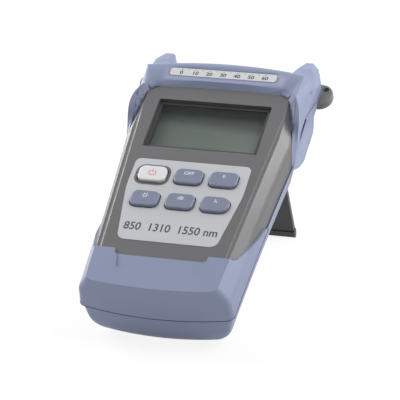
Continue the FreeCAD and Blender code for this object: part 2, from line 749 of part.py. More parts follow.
def face_grooves():
    """Shallow groove along each long edge of the face."""
    lift = GROOVE_RADIUS - GROOVE_DEPTH
    start = V(CREASE_BOTTOM_HALF - 1, CREASE_RISE + CREASE_BOW, lift)
    end = V(CREASE_FLARE_HALF - 1, FLARE_Y, lift)
    run = end - start
    return both_sides(cylinder(GROOVE_RADIUS, start, run * 1.5))


def front_housing():
    bosses = screw_rods(BOSS_RADIUS, BOARD_FRONT, -WALL / 2).common(front_form(-WALL / 2))
    hollow = front_form(-WALL).cut(bosses)
    shell = front_form(0).cut(hollow)
    for part_away in (bottom_guard(), window_hole(), key_holes(0, 0), face_grooves(),
                      overlay_plate(-OVERLAY_SUNK, 1), port_passages(),
                      screw_rods(SCREW_RADIUS, -PARTING, SCREW_TIP_Z)):
        shell = shell.cut(part_away)
    return shell.removeSplitter()


BAY_HALF = CELL_COUNT * (2 * CELL_RADIUS + CELL_GAP) / 2
BAY_TOP_Y = BAY_BOTTOM_Y + SPRING_SPACE + CELL_LENGTH + CELL_NUB + CONTACT_THICK
COVER_INNER_Z = -BACK + COVER_THICK
BAY_ROOF_Z = COVER_INNER_Z + 2 * (CELL_RADIUS + CELL_PLAY)


def bay(wall):
    """The battery compartment; with a wall it is the box moulded round it."""
    return box(-BAY_HALF - wall, BAY_HALF + wall, BAY_BOTTOM_Y - wall, BAY_TOP_Y + wall,
               -BACK, BAY_ROOF_Z + wall)


def cover_ledge():
    """Thickened rim of the back that the battery cover seats on."""
    m = COVER_MARGIN + COVER_GAP + BAY_WALL
    return box(-BAY_HALF - m, BAY_HALF + m, BAY_BOTTOM_Y - m, BAY_TOP_Y + m,
               -BACK, COVER_INNER_Z + SEAT_GAP + BAY_WALL)


def stand_well(wall, floor):
    """Recess that the folded stand lies in; with a wall it is the box moulded round it."""
    foot_y = STAND_HINGE_Y - STAND_LENGTH - STAND_GAP
    end_y = STAND_HINGE_Y + STAND_THICK / 2 + WELL_END_GAP
    foot_half = STAND_FOOT_HALF + 2 * STAND_FOOT_FLARE + STAND_GAP + wall
    hinge_half = STAND_HINGE_HALF + STAND_GAP + wall
    loop = [V(-foot_half, foot_y - wall, -BACK), V(foot_half, foot_y - wall, -BACK),
            V(hinge_half, STAND_HINGE_Y, -BACK), V(hinge_half, end_y + wall, -BACK),
            V(-hinge_half, end_y + wall, -BACK), V(-hinge_half, STAND_HINGE_Y, -BACK)]
    depth = STAND_THICK / 2 + STAND_FOOT_RADIUS + STAND_GAP
    return slab(Part.makePolygon(loop + loop[:1]), depth + floor)


def finger_notch():
    y = STAND_HINGE_Y - STAND_LENGTH - STAND_GAP
    notch = cylinder(NOTCH_HALF, V(0, y, -BACK - 1), V(0, 0, 1 + NOTCH_DEPTH))
    return notch.common(box(-NOTCH_HALF, NOTCH_HALF, y - NOTCH_LENGTH, y + 1, -2 * BACK, 0))


def cover_seat():
    m = COVER_MARGIN + COVER_GAP
    return box(-BAY_HALF - m, BAY_HALF + m, BAY_BOTTOM_Y - m, BAY_TOP_Y + m,
               -BACK - 1, COVER_INNER_Z + SEAT_GAP)


def tab_slots():
    """Slots in the lower wall of the bay that the cover's tabs turn in."""
    y1 = BAY_BOTTOM_Y + 1
    y0 = BAY_BOTTOM_Y - COVER_MARGIN - TAB_REACH - 2 * TAB_GAP
    half = TAB_HALF + COVER_GAP
    z1 = COVER_INNER_Z + TAB_GAP + TAB_THICK + TAB_SWING
    slot = box(TAB_X - half, TAB_X + half, y0, y1, COVER_INNER_Z, z1)
    return both_sides(slot)


def stand_pins():
    half_in = STAND_HINGE_HALF - PIN_IN_STAND
    length = PIN_IN_STAND + STAND_GAP + PIN_IN_HOUSING
    return both_sides(cylinder(PIN_RADIUS, V(half_in, STAND_HINGE_Y, STAND_HINGE_Z), V(length, 0, 0)))


def rear_housing():
    outer = rear_form(0).fuse([shoulder_block(), horn().common(half_space(False)),
                               mirrored(horn()).common(half_space(False))])
    hollow = rear_form(-WALL)
    for kept in (bay(BAY_WALL), cover_ledge(), stand_well(WELL_WALL, WELL_FLOOR),
                 screw_rods(BOSS_RADIUS, -BACK, -PARTING)):
        hollow = hollow.cut(kept)
    shell = outer.cut(hollow)
    posts = screw_rods(BOSS_RADIUS, -PARTING - 1, BOARD_FRONT - BOARD_THICK)
    shell = shell.fuse(posts.common(front_form(-WALL)))
    for part_away in (bay(0), cover_seat(), tab_slots(), stand_well(0, 0), finger_notch(),
                      stand_pins(), scoops(), lugs(), port_passages(),
                      screw_rods(SCREW_RADIUS + SCREW_FIT, -BACK, 0),
                      screw_rods(SCREW_HEAD_RADIUS + SCREW_FIT, -BACK - 1, SCREW_HEAD_Z)):
        shell = shell.cut(part_away)
    return shell.removeSplitter()


# ================================================================ battery and back
def cell_axes():
    """Centre line and direction of each cell; neighbours point opposite ways."""
    pitch = 2 * CELL_RADIUS + CELL_GAP
    z = COVER_INNER_Z + CELL_PLAY + CELL_RADIUS
    first = -(CELL_COUNT - 1) / 2 * pitch
    return [(first + i * pitch, z, 1 if i % 2 == 0 else -1) for i in range(CELL_COUNT)]


def cell_ends(direction):
    """Positive and negative wall of the bay for a cell that points this way."""
    ends = (BAY_TOP_Y, BAY_BOTTOM_Y)
    return ends if direction > 0 else ends[::-1]


def cell(x, z, direction):
    plus, minus = cell_ends(direction)
    base = V(x, minus + direction * SPRING_SPACE, z)
    can = cylinder(CELL_RADIUS, base, V(0, direction * CELL_LENGTH, 0))
    nub = cylinder(CELL_NUB_RADIUS, base + V(0, direction * (CELL_LENGTH - 1), 0),
                   V(0, direction * (CELL_NUB + 1), 0))
    return can.fuse(nub).removeSplitter()


def contact_pair(x, z, direction):
    """Flat contact at the positive end, bent leaf spring at the negative end."""
    plus, minus = cell_ends(direction)
    half = CONTACT_WIDTH / 2
    t = CONTACT_THICK
    flat = box(x - half, x + half, min(plus, plus - direction * t), max(plus, plus - direction * t),
               z - half, z + half)
    reach = minus + direction * SPRING_SPACE
    d = direction * t
    bends = [V(x - half, minus, z - half), V(x - half, minus, z + half),
             V(x - half, minus + d, z + half), V(x - half, minus + d, z - half + t),
             V(x - half, reach - d, z - 1), V(x - half, reach - d, z + half - 1),
             V(x - half, reach, z + half - 1), V(x - half, reach, z - 1 - t),
             V(x - half, minus + 2 * d, z - half)]
    leaf = Part.Face(Part.makePolygon(bends + bends[:1])).extrude(V(CONTACT_WIDTH, 0, 0))
    return flat, leaf


def battery_contacts():
    pieces = []
    for x, z, direction in cell_axes():
        pieces.extend(contact_pair(x, z, direction))
    return Part.makeCompound(pieces)


def battery_cover():
    """Snap-in cover: rounded, tabbed lower edge that it swings on, and a ribbed grip."""
    m = COVER_MARGIN
    y0, y1 = BAY_BOTTOM_Y - m, BAY_TOP_Y + m
    w = BAY_HALF + m
    plate = box(-w, w, y0, y1, -BACK, COVER_INNER_Z)
    lower = [e for e in plate.Edges if e.BoundBox.YMax < y0 + 0.01 and e.BoundBox.XLength > 1]
    plate = plate.makeFillet(COVER_THICK / 2 - 0.05, lower)
    tab_top = COVER_INNER_Z + TAB_GAP + TAB_THICK
    rise = y0 + COVER_THICK / 2
    tab = box(TAB_X - TAB_HALF, TAB_X + TAB_HALF, y0 - TAB_REACH, rise + 1,
              COVER_INNER_Z + TAB_GAP, tab_top)
    root = box(TAB_X - TAB_HALF, TAB_X + TAB_HALF, rise, rise + 1, COVER_INNER_Z - 0.5, tab_top)
    plate = plate.fuse([both_sides(tab), both_sides(root)])
    for i in range(GRIP_GROOVES):
        y = y1 - 4 - i * GRIP_PITCH
        groove = cylinder(GRIP_DEPTH, V(-GRIP_HALF, y, -BACK), V(2 * GRIP_HALF, 0, 0))
        plate = plate.cut(groove)
    return plate.removeSplitter()


STAND_HINGE_Z = -BACK + STAND_THICK / 2


def kickstand():
    """Tapered plate with a round hinge end and a thicker rounded foot, swung open."""
    foot_y = STAND_HINGE_Y - STAND_LENGTH
    z0 = -BACK
    low = foot_y + STAND_FOOT_RADIUS
    loop = [V(-STAND_FOOT_HALF, low, z0), V(STAND_FOOT_HALF, low, z0),
            V(STAND_HINGE_HALF, STAND_HINGE_Y, z0), V(-STAND_HINGE_HALF, STAND_HINGE_Y, z0)]
    plate = slab(Part.makePolygon(loop + loop[:1]), STAND_THICK)
    hinge_round = cylinder(STAND_THICK / 2, V(-STAND_HINGE_HALF, STAND_HINGE_Y, STAND_HINGE_Z),
                           V(2 * STAND_HINGE_HALF, 0, 0))
    half = STAND_FOOT_HALF + STAND_FOOT_FLARE
    r = STAND_FOOT_RADIUS
    bead = box(-half, half, foot_y, foot_y + STAND_FOOT_HEIGHT, STAND_HINGE_Z - r, STAND_HINGE_Z + r)
    long_edges = [e for e in bead.Edges if e.BoundBox.XLength > 1]
    bead = bead.makeFillet(r - 0.05, [e for e in long_edges if e.BoundBox.YMax < foot_y + 0.01])
    stand = plate.fuse([hinge_round, bead])
    axis_length = 2 * STAND_HINGE_HALF + 2
    bore_start = V(STAND_HINGE_HALF - PIN_IN_STAND - PIN_FIT, STAND_HINGE_Y, STAND_HINGE_Z)
    bore = cylinder(PIN_RADIUS + PIN_FIT, bore_start, V(axis_length, 0, 0))
    stand = stand.cut(both_sides(bore)).removeSplitter()
    stand.rotate(V(0, STAND_HINGE_Y, STAND_HINGE_Z), V(1, 0, 0), STAND_OPEN)
    return stand


# ================================================================ standing pose
def lean():
    """Angle at which the round heel and the foot of the open stand touch one flat surface."""
    slope = (HEEL_PROUD - REAR_PROUD) / (BACK - PARTING)
    heel_y = HEEL_RADIUS * (slope + math.sqrt(1 + slope ** 2)) - HEEL_PROUD
    heel = V(0, heel_y, HEEL_RADIUS - BACK)
    arm = STAND_LENGTH - STAND_FOOT_RADIUS
    swing = math.radians(STAND_OPEN)
    foot = V(0, STAND_HINGE_Y - arm * math.cos(swing), STAND_HINGE_Z - arm * math.sin(swing))
    run = foot - heel
    angle = math.atan2(run.z, run.y) + math.asin((HEEL_RADIUS - STAND_FOOT_RADIUS) / run.Length)
    return -math.degrees(angle)


def stand_up(shape):
    shape = shape.copy()
    shape.rotate(V(0, 0, 0), V(1, 0, 0), lean())
    return shape


def pieces():
    made = {
        "front_housing": front_housing(),
        "rear_housing": rear_housing(),
        "top_guard": top_guard(),
        "bottom_guard": bottom_guard(),
        "display_window": display_window(),
        "lcd_bezel": lcd_bezel(),
        "lcd_panel": lcd_panel(),
        "keypad_overlay": keypad_overlay(),
        "title_label": label_plate(),
        "keypad_mat": keypad_mat(),
        "main_board": main_board(),
        "detector_port": port(PORT_X),
        "source_port": port(-PORT_X),
        "detector_sleeve": ferrule_sleeve(PORT_X),
        "source_sleeve": ferrule_sleeve(-PORT_X),
        "detector_module": module(PORT_X, DETECTOR_LENGTH),
        "laser_module": module(-PORT_X, LASER_LENGTH),
        "battery_contacts": battery_contacts(),
        "battery_cover": battery_cover(),
        "strap_lug_right": lug(),
        "strap_lug_left": mirrored(lug()),
        "case_screws": case_screws(),
        "stand_pins": stand_pins(),
        "kickstand": kickstand(),
    }
    for number, place in enumerate(cell_axes(), 1):
        made["cell_%d" % number] = cell(*place)
    for name, x, y, right in key_places():
        made[name] = key(x, y, right)
    return made


def main():
    os.makedirs("parts", exist_ok=True)
    standing = {name: stand_up(shape) for name, shape in pieces().items()}
    whole = Part.makeCompound(list(standing.values())).optimalBoundingBox(False)
    shift = V(0, -(whole.YMin + whole.YMax) / 2, -whole.ZMin)
    for name, shape in standing.items():
        shape.translate(shift)
        shape.exportStep("parts/%s.step" % name)
    print("lean %.2f degrees, shift %.3f %.3f" % (lean(), shift.y, shift.z))


if __name__ == "__main__":
    main()
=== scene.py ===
# %% [markdown]
# # A handheld optical power meter
# The solids come ready made: two housings, two guards, a window, six keys and a kickstand.
# This lesson dresses them: it gives every piece a worked finish, and adds the small things that
# solids don't carry, such as key legends, printed scales, seams and threads.

# %% Load the solids
import json
import math

import bmesh
import bpy
from mathutils import Matrix, Vector


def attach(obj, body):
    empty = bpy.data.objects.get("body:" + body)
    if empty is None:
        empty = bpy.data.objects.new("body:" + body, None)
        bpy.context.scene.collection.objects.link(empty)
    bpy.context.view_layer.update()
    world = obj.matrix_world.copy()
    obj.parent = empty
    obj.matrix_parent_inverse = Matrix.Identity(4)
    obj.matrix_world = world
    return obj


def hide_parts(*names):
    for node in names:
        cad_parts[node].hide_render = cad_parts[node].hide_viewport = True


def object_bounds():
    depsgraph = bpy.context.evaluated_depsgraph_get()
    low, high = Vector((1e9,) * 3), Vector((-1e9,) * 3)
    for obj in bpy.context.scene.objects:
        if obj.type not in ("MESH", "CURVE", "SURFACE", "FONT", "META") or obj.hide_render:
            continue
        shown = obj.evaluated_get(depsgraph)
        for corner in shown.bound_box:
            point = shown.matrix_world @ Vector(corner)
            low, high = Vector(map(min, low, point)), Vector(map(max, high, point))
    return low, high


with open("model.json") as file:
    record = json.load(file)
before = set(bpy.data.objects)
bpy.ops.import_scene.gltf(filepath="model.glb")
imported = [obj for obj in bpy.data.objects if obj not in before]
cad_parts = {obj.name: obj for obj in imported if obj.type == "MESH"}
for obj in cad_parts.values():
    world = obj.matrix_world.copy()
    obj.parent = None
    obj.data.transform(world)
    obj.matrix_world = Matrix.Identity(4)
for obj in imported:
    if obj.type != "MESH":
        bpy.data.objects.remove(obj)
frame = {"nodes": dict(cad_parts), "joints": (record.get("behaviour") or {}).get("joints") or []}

nodes = frame["nodes"]
solid_low, solid_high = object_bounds()
print("solids:", len(nodes), "nodes,", [round(v, 4) for v in solid_high - solid_low], "m")

# %% [markdown]
# ## A frame that leans with the instrument
# The meter leans on its stand, so nothing on it is level. Working in leaning coordinates is far
# easier: X across the face, Y up it, Z out of it. The keys press straight into the face, so the
# axis of one key joint gives the lean, and the window plate, whose place on the instrument is
# known, gives the origin.

# %% Leaning coordinates
press = next(j for j in frame["joints"] if j["name"] == "key_power_press")["axis"]
turn = Matrix.Rotation(math.atan2(press[1], -press[2]), 4, "X")


def turned_box(name, to_instrument):
    """Lowest and highest corners of a solid after a change of coordinates."""
    points = [to_instrument @ v.co for v in nodes[name].data.vertices]
    low = Vector([min(p[i] for p in points) for i in range(3)])
    high = Vector([max(p[i] for p in points) for i in range(3)])
    return low, high


WINDOW_PLATE = Vector((-0.034, 0.1019, -0.0037))
corner = turned_box("display_window", turn.inverted())[0]
place = turn @ Matrix.Translation(corner - WINDOW_PLATE)
unplace = place.inverted()


def box_of(name):
    return turned_box(name, unplace)


def spot(x, y, z=0.0):
    """A point given in millimetres on the instrument, in metres."""
    return Vector((x, y, z)) / 1000


lean = math.degrees(turn.to_euler().x)
print("lean", round(lean, 2), "degrees; face at z", round(box_of("front_housing")[1].z, 5))

# %% [markdown]
# ## Writing finishes as arithmetic
# A finish mixes noises, ramps and sums. Wiring those by hand hides the idea, so one small class
# wraps a socket and lets it be added, multiplied and so on; every sign adds its Math node. All
# other nodes come from one method.

# %% A socket that does arithmetic
class Wire:
    def __init__(self, finish, socket):
        self.finish, self.socket = finish, socket

    def math(self, operation, first, second):
        return self.finish.node("ShaderNodeMath", {"operation": operation}, {0: first, 1: second})

    def __add__(self, other):
        return self.math("ADD", self, other)

    def __sub__(self, other):
        return self.math("SUBTRACT", self, other)

    def __rsub__(self, other):
        return self.math("SUBTRACT", other, self)

    def __mul__(self, other):
        return self.math("MULTIPLY", self, other)

    def clipped(self):
        return self.finish.node("ShaderNodeClamp", {}, {0: self})


# %% A finish: one Principled shader and what feeds it
class Finish:
    def __init__(self, name, **fixed):
        self.material = bpy.data.materials.new(name)
        self.material.use_nodes = True
        self.nodes = self.material.node_tree.nodes
        self.links = self.material.node_tree.links
        self.shader = self.nodes["Principled BSDF"]
        for label, value in fixed.items():
            self.shader.inputs[label.replace("_", " ")].default_value = value

    def node(self, kind, settings, inputs, output=0):
        made = self.nodes.new(kind)
        for label, value in settings.items():
            if label == "stops":
                ramp = made.color_ramp
                while len(ramp.elements) < len(value):
                    ramp.elements.new(0.5)
                for element, (position, colour) in zip(ramp.elements, value):
                    element.position, element.color = position, colour
            else:
                setattr(made, label, value)
        for label, value in inputs.items():
            self.join(made.inputs[label], value)
        return Wire(self, made.outputs[output])

    def join(self, socket, value):
        if isinstance(value, Wire):
            self.links.new(value.socket, socket)
        else:
            socket.default_value = value

    def feed(self, label, value):
        self.join(self.shader.inputs[label], value)

    def here(self):
        return self.node("ShaderNodeTexCoord", {}, {}, "Object")

    def noise(self, scale, detail=3.0, roughness=0.55, where=None):
        return self.node("ShaderNodeTexNoise", {}, {
            "Vector": where or self.here(), "Scale": scale, "Detail": detail, "Roughness": roughness})

    def blend(self, share, first, second):
        return self.node("ShaderNodeMix", {"data_type": "RGBA"}, {0: share, 6: first, 7: second}, 2)

    def bump(self, height, depth, strength=0.5):
        self.feed("Normal", self.node("ShaderNodeBump", {}, {
            "Height": height, "Distance": depth, "Strength": strength}))


def shade(colour, amount):
    return tuple(min(1.0, c * amount) for c in colour[:3]) + (1.0,)


print("helpers ready")

# %% [markdown]
# ## Moulded plastic
# The guards, housings, keys and stand are all injection moulded, but from different tools. What
# tells them apart is colour, gloss and the fine spark-eroded grain. So one recipe makes them all:
# a cloudy colour drift of a few percent, handling marks that change the gloss, and a grain that is
# bump only.

# %% Moulded finishes
def moulded(name, colour, gloss, grain=3200.0, depth=0.00003, drift=0.06, handled=0.10, **fixed):
    finish = Finish(name, **fixed)
    cloud = finish.noise(38.0, 4.0)
    fine = finish.noise(grain, 2.0)
    marks = finish.noise(160.0, 5.0, 0.7)
    scuffs = (marks * 4.0 - 2.25).clipped()
    tone = finish.blend(cloud, shade(colour, 1.0 - drift), shade(colour, 1.0 + drift))
    tone = finish.blend(scuffs * 0.12, tone, shade(colour, 1.35))
    finish.feed("Base Color", tone)
    finish.feed("Roughness", (cloud * handled + (gloss - handled / 2) + scuffs * 0.1).clipped())
    finish.bump(fine + marks * 0.6, depth)
    return finish.material


guard_finish = moulded("guard_lavender", (0.194, 0.222, 0.334), 0.52)
shell_finish = moulded("shell_grey", (0.096, 0.095, 0.099), 0.40)
key_finish = moulded("key_slate_blue", (0.158, 0.182, 0.255), 0.40, grain=2600.0, depth=0.00001)
power_finish = moulded("key_white", (0.640, 0.640, 0.655), 0.33, depth=0.00001, drift=0.02)
lug_finish = moulded("lug_grey", (0.112, 0.117, 0.112), 0.55)
stand_finish = moulded("stand_black", (0.026, 0.026, 0.028), 0.45)
bezel_finish = moulded("bezel_black", (0.030, 0.031, 0.033), 0.6)
mat_finish = moulded("silicone_grey", (0.25, 0.26, 0.28), 0.62, depth=0.00002)
print("moulded finishes: 8")

# %% [markdown]
# ## Printed panels
# The silver key panel and the name strip are printed polyester: pale, almost smooth, with metal
# flakes in the ink. Flakes are tiny, so a very fine cellular noise varies the tone and the gloss
# together; from arm's length it reads as silver-grey.

# %% Silver print and inks
def silver_print(name, colour):
    finish = Finish(name, Metallic=0.1, Coat_Weight=0.15, Coat_Roughness=0.2)
    flakes = finish.node("ShaderNodeTexVoronoi", {}, {"Vector": finish.here(), "Scale": 5200.0}, "Color")
    grey = finish.node("ShaderNodeRGBToBW", {}, {0: flakes})
    cloud = finish.noise(60.0)
    tone = grey * 0.7 + cloud * 0.3
    finish.feed("Base Color", finish.blend(tone, shade(colour, 0.94), shade(colour, 1.06)))
    finish.feed("Roughness", (grey * 0.12 + cloud * 0.08 + 0.32).clipped())
    finish.bump(finish.noise(900.0, 2.0), 0.00001)
    return finish.material


def ink(name, colour, gloss=0.5):
    finish = Finish(name)
    worn = finish.noise(700.0, 4.0)
    finish.feed("Base Color", finish.blend(worn, shade(colour, 0.85), shade(colour, 1.15)))
    finish.feed("Roughness", (worn * 0.2 + (gloss - 0.1)).clipped())
    finish.bump(worn, 0.000005)
    return finish.material


panel_finish = silver_print("panel_silver", (0.445, 0.450, 0.470))
strip_finish = silver_print("strip_silver", (0.500, 0.520, 0.530))
dark_ink = ink("ink_charcoal", (0.050, 0.052, 0.065))
pale_ink = ink("ink_white", (0.72, 0.74, 0.80))
red_ink = ink("ink_dull_red", (0.56, 0.20, 0.22))
seam_finish = ink("seam_shadow", (0.030, 0.036, 0.075), 0.8)
print("printed finishes: 6")

# %% [markdown]
# ## Metal, board and cells
# The fibre ports are nickel-plated turned brass: fine rings from the lathe, so the grain is
# stretched round them. The board has green resist with faint tracks. The cells wear a plain
# dark sleeve with a pale band at one end.

# %% Metals
def metal(name, colour, gloss, stretch=(1.0, 1.0, 1.0)):
    finish = Finish(name, Metallic=1.0)
    where = finish.node("ShaderNodeMapping", {}, {"Vector": finish.here(), "Scale": stretch})
    brushed = finish.noise(1500.0, 3.0, where=where)
    stain = finish.noise(90.0, 4.0)
    finish.feed("Base Color", finish.blend(stain, shade(colour, 0.86), shade(colour, 1.08)))
    finish.feed("Roughness", (brushed * 0.18 + stain * 0.1 + (gloss - 0.1)).clipped())
    finish.bump(brushed, 0.00001)
    return finish.material


nickel_finish = metal("nickel_plate", (0.62, 0.60, 0.56), 0.30, (0.05, 1.0, 0.05))
can_finish = metal("module_can", (0.52, 0.52, 0.53), 0.38)
contact_finish = metal("contact_nickel", (0.60, 0.59, 0.56), 0.34, (1.0, 0.08, 1.0))
screw_finish = metal("screw_zinc", (0.46, 0.46, 0.48), 0.36)
pin_finish = metal("pin_steel", (0.55, 0.55, 0.57), 0.25, (0.05, 1.0, 1.0))
print("metals: 5")

# %% Board, cells, ceramic
def board():
    finish = Finish("board_green", Coat_Weight=0.4, Coat_Roughness=0.15)
    tracks = finish.node("ShaderNodeTexBrick", {"offset": 0.35}, {
        "Vector": finish.here(), "Scale": 210.0, "Mortar Size": 0.08, "Color1": (0.02, 0.16, 0.06, 1),
        "Color2": (0.025, 0.19, 0.07, 1), "Mortar": (0.04, 0.28, 0.11, 1)})
    finish.feed("Base Color", tracks)
    finish.feed("Roughness", (finish.noise(200.0) * 0.2 + 0.3).clipped())
    return finish.material


def sleeve():
    finish = Finish("cell_sleeve", Coat_Weight=0.5, Coat_Roughness=0.1)
    height = finish.node("ShaderNodeSeparateXYZ", {}, {0: finish.here()}, "Y")
    band = (height * 90.0 + 3.6).clipped()
    cloud = finish.noise(120.0)
    finish.feed("Base Color", finish.blend(band, (0.36, 0.30, 0.16, 1), (0.035, 0.037, 0.042, 1)))
    finish.feed("Roughness", (cloud * 0.2 + 0.25).clipped())
    return finish.material


board_finish, cell_finish = board(), sleeve()
ceramic_finish = moulded("ceramic_white", (0.78, 0.77, 0.72), 0.2, depth=0.000005, drift=0.02)
print("board, cell and ceramic ready")

# %% [markdown]
# ## Window and display
# The window is a clear hard plate, almost wholly see-through, with a slight haze. The reflective
# display behind it is grey-green. A painted reflection makes it a little paler in its lower right
# corner, and a painted shadow of the window's recess darkens it towards its top edge.

# %% Window and display
def window():
    finish = Finish("window_clear", IOR=1.49)
    finish.material.surface_render_method = "BLENDED"
    haze = finish.noise(45.0, 4.0)
    finish.feed("Base Color", (0.16, 0.19, 0.17, 1.0))
    finish.feed("Roughness", (haze * 0.08 + 0.14).clipped())
    finish.feed("Alpha", (haze * 0.04 + 0.05).clipped())
    return finish.material


def display():
    finish = Finish("display_grey_green")
    low, high = box_of("lcd_panel")
    place_row = finish.node("ShaderNodeMapping", {"vector_type": "POINT"}, {
        "Vector": finish.here(), "Location": unplace.to_translation(), "Rotation": unplace.to_euler()})
    across = finish.node("ShaderNodeSeparateXYZ", {}, {0: place_row}, "X")
    up = finish.node("ShaderNodeSeparateXYZ", {}, {0: place_row}, "Y")
    tall, wide = high.y - low.y, high.x - low.x
    rise = (up - low.y) * (1 / tall)
    side = (across - low.x) * (1 / wide)
    # Painted shadow of the window's recess: towards its top edge the display is blended to near black.
    painted_top_shadow = finish.node("ShaderNodeValToRGB", {"stops": [
        (0.0, (0, 0, 0, 1)), (0.60, (0.10, 0.10, 0.10, 1)),
        (0.76, (0.80, 0.80, 0.80, 1)), (1.0, (1, 1, 1, 1))]},
        {0: (rise + side * 0.08 + finish.noise(30.0) * 0.10 - 0.05).clipped()})
    # Painted reflection: the lower right corner is blended towards a paler grey-green.
    base = finish.blend((side * 1.6 - 0.75).clipped() * (1 - rise).clipped(),
                        (0.098, 0.122, 0.108, 1), (0.190, 0.215, 0.182, 1))
    base = finish.blend(painted_top_shadow, base, (0.020, 0.023, 0.026, 1))
    finish.feed("Base Color", base)
    finish.feed("Roughness", (finish.noise(400.0) * 0.1 + 0.4).clipped())
    return finish.material


window_finish, display_finish = window(), display()
print("window and display ready")

# %% Hand every solid its finish
by_finish = {
    guard_finish: ["rear_housing", "top_guard", "bottom_guard", "battery_cover"],
    shell_finish: ["front_housing"],
    window_finish: ["display_window"],
    display_finish: ["lcd_panel"],
    bezel_finish: ["lcd_bezel"],
    panel_finish: ["keypad_overlay"],
    strip_finish: ["title_label"],
    key_finish: ["key_auto_off", "key_zero", "key_light", "key_db", "key_wavelength"],
    power_finish: ["key_power"],
    mat_finish: ["keypad_mat"],
    board_finish: ["main_board"],
    nickel_finish: ["detector_port", "source_port"],
    ceramic_finish: ["detector_sleeve", "source_sleeve"],
    can_finish: ["detector_module", "laser_module"],
    contact_finish: ["battery_contacts"],
    lug_finish: ["strap_lug_right", "strap_lug_left"],
    screw_finish: ["case_screws"],
    pin_finish: ["stand_pins"],
    stand_finish: ["kickstand"],
    cell_finish: ["cell_1", "cell_2", "cell_3"],
}
for finish, names in by_finish.items():
    for name in names:
        for slot in nodes[name].material_slots:
            slot.material = finish
dressed = sum(len(names) for names in by_finish.values())
print("solids with a finish:", dressed, "of", len(nodes))

# %% [markdown]
# ## Small pieces
# Legends and scales are thin flat things lying on a surface. Text objects give letters and
# numbers; a ribbon, a flat band along a path, gives symbols. Both are made in leaning
# coordinates and then put in place.

# %% Helpers for flat pieces
MAIN = "instrument"
LIFT = 0.00004      # thickness of print


def settle(piece, body, finish, where=place):
    """Puts a piece in the scene and ties it to its body and finish."""
    bpy.context.collection.objects.link(piece)
    piece.matrix_world = where
    piece.data.materials.append(finish)
    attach(piece, body)
    return piece


def words(name, text, centre, height, body, finish, stretch=1.0, bold=0.0):
    """Flat text centred on a point, its numerals about height tall."""
    letters = bpy.data.curves.new(name, "FONT")
    letters.body = text
    letters.size = height * 1.38
    letters.align_x, letters.align_y = "CENTER", "CENTER"
    letters.extrude, letters.offset = LIFT / 2, bold
    letters.resolution_u = 4
    piece = settle(bpy.data.objects.new(name, letters), body, finish)
    piece.matrix_world = place @ Matrix.Translation(centre) @ Matrix.Diagonal((stretch, 1, 1, 1))
    return piece


def ribbon(name, paths, width, height, body, finish):
    """Flat bands along open paths of (x, y), at one height over the face."""
    form = bmesh.new()
    for path in paths:
        rails = []
        for i, point in enumerate(path):
            before, after = path[max(i - 1, 0)], path[min(i + 1, len(path) - 1)]
            along = Vector((after[0] - before[0], after[1] - before[1])).normalized()
            side = Vector((-along.y, along.x)) * width / 2
            rails.append([form.verts.new((point[0] + s * side.x, point[1] + s * side.y, height))
                          for s in (1, -1)])
        for (a, b), (c, d) in zip(rails, rails[1:]):
            form.faces.new((a, b, d, c))
    top = bmesh.ops.extrude_face_region(form, geom=form.faces[:])["geom"]
    bmesh.ops.translate(form, verts=[g for g in top if isinstance(g, bmesh.types.BMVert)], vec=(0, 0, LIFT))
    bmesh.ops.recalc_face_normals(form, faces=form.faces[:])
    mesh = bpy.data.meshes.new(name)
    form.to_mesh(mesh)
    form.free()
    return settle(bpy.data.objects.new(name, mesh), body, finish)


def bow(x, y, radius, start, end, steps=20):
    """Points along an arc, angles in degrees from the +X axis."""
    turns = [math.radians(start + (end - start) * i / steps) for i in range(steps + 1)]
    return [(x + radius * math.cos(a), y + radius * math.sin(a)) for a in turns]


print("flat piece helpers ready")

# %% [markdown]
# ## Key legends
# Each key carries one plain mark: a power symbol, OFF, a nought, a lamp, dB and a Greek lambda
# for wavelength. They sit in the upper half of the key, as the press pad is below. Each mark
# rides on its key's body, so it goes down with the key.

# %% Legends on the keys
def key_top(name):
    low, high = box_of(name)
    return Vector(((low.x + high.x) / 2, (low.y + high.y) / 2, high.z + LIFT / 2))


for name, text in (("key_auto_off", "OFF"), ("key_zero", "0"), ("key_db", "dB"), ("key_wavelength", "λ")):
    words(name + "_legend", text, key_top(name) + spot(0, 1.6), 0.0023, name + "_cap", pale_ink)

top = key_top("key_power")
power_paths = [bow(top.x, top.y + 0.0002, 0.0019, 125, 415),
               [(top.x, top.y + 0.0005), (top.x, top.y + 0.0028)]]
ribbon("key_power_symbol", power_paths, 0.00055, top.z, "key_power_cap", red_ink)

top = key_top("key_light")
lamp = [bow(top.x, top.y + 0.0016, 0.0009, 0, 360)]
for angle in range(0, 360, 60):
    reach = Vector((math.cos(math.radians(angle)), math.sin(math.radians(angle))))
    lamp.append([(top.x + reach.x * r, top.y + 0.0016 + reach.y * r) for r in (0.0013, 0.0019)])
ribbon("key_light_symbol", lamp, 0.00032, top.z, "key_light_cap", pale_ink)
print("legends on 6 keys")

# %% [markdown]
# ## Printed scales
# The key panel names the wavelengths that the meter reads, in nanometres; the strip over the
# window carries a plain numbered scale.

# %% Panel and strip print
panel_low, panel_high = box_of("keypad_overlay")
words("panel_wavelengths", "850  1310  1550 nm", Vector((0, panel_low.y + 0.0094, panel_high.z)),
      0.0054, MAIN, dark_ink, 0.84, 0.00016)

strip_low, strip_high = box_of("title_label")
middle = (strip_low.y + strip_high.y) / 2
TICKS, TICK_STEP, TICK_WIDTH = 13, 0.0040, 0.00035
TICK_FOOT, TICK_TOP = 0.0015, 0.0023
ticks = []
for i in range(TICKS):
    x = (i - TICKS // 2) * TICK_STEP
    ticks.append([(x, middle + TICK_FOOT), (x, middle + TICK_TOP)])
    if i % 2 == 0:
        words("strip_number_%d" % i, str(i * 5), Vector((x, middle - 0.0006, strip_high.z)),
              0.0027, MAIN, dark_ink, bold=0.00012)
ribbon("strip_ticks", ticks, TICK_WIDTH, strip_high.z - LIFT / 2, MAIN, dark_ink)
print("panel and strip printed")

